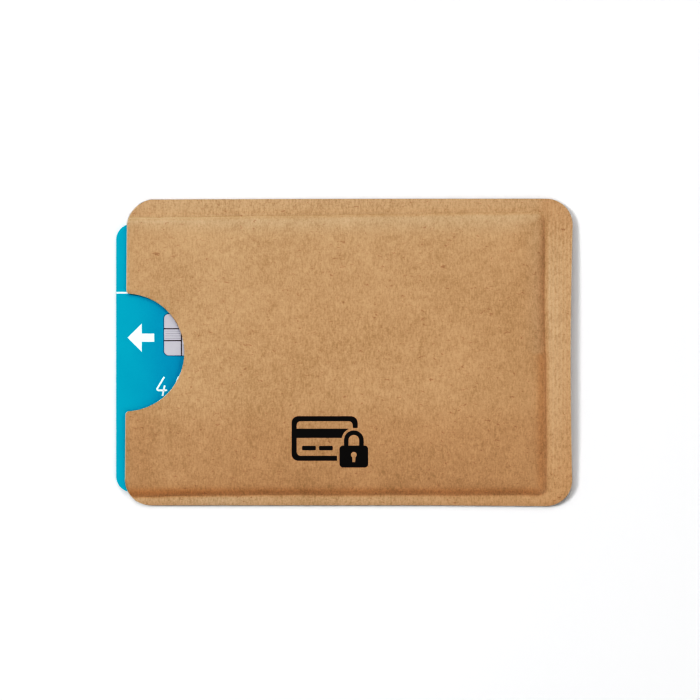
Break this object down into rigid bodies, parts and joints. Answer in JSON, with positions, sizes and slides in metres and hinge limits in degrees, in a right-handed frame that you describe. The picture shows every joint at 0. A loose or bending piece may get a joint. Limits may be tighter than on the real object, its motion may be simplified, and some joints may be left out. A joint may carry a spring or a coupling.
{
  "type": "rfid card holder",
  "caption": "Flat kraft paper sleeve with a foil lining that shields one payment card, sealed on three sides, open at one end with a thumb notch; the card slides out.",
  "frame": {"origin": "on the sleeve's lowest face, the flat of the back panel, under the centre of the sleeve's outline", "axes": "+X from the open mouth to the closed end, +Y up the card, +Z out of the front panel"},
  "size_m": [0.0918, 0.062, 0.0027],
  "materials": {
    "kraft_paper": "uncoated brown kraft, matt, fine fibre",
    "shielding_foil": "bright thin foil",
    "lining_film": "clear film over foil, silver sheen",
    "edge_glue": "dried hot-melt glue",
    "card_overlay": "clear gloss film over turquoise print",
    "card_print": "turquoise printed sheet",
    "card_core": "white core sheet",
    "magnetic_stripe": "dark brown magnetic tape",
    "signature_strip": "matt white writing strip",
    "contact_metal": "satin silver plate",
    "chip_tape": "glass-fibre tape",
    "chip_adhesive": "clear hot-melt adhesive",
    "silicon": "polished grey die",
    "chip_resin": "black cured resin",
    "antenna_copper": "bare copper track",
    "post_metal": "silver conductive paste"
  },
  "bodies": {
    "sleeve": {"front_paper": "kraft_paper", "front_foil": "shielding_foil", "front_lining": "lining_film", "back_paper": "kraft_paper", "back_foil": "shielding_foil", "back_lining": "lining_film", "edge_seal": "edge_glue"},
    "card": {"card_front_overlay": "card_overlay", "card_front_print": "card_print", "card_upper_core": "card_core", "card_lower_core": "card_core", "card_back_print": "card_print", "card_back_overlay": "card_overlay", "magnetic_stripe": "magnetic_stripe", "signature_strip": "signature_strip", "contact_plate": "contact_metal", "chip_tape": "chip_tape", "chip_adhesive": "chip_adhesive", "chip_die": "silicon", "chip_resin": "chip_resin", "antenna_coil": "antenna_copper", "antenna_strap": "antenna_copper", "antenna_posts": "post_metal"}
  },
  "joints": [
    {"name": "card_slide", "type": "slide", "parent": "sleeve", "child": "card", "axis": [-1, 0, 0], "range_m": [0, 0.088]}
  ]
}
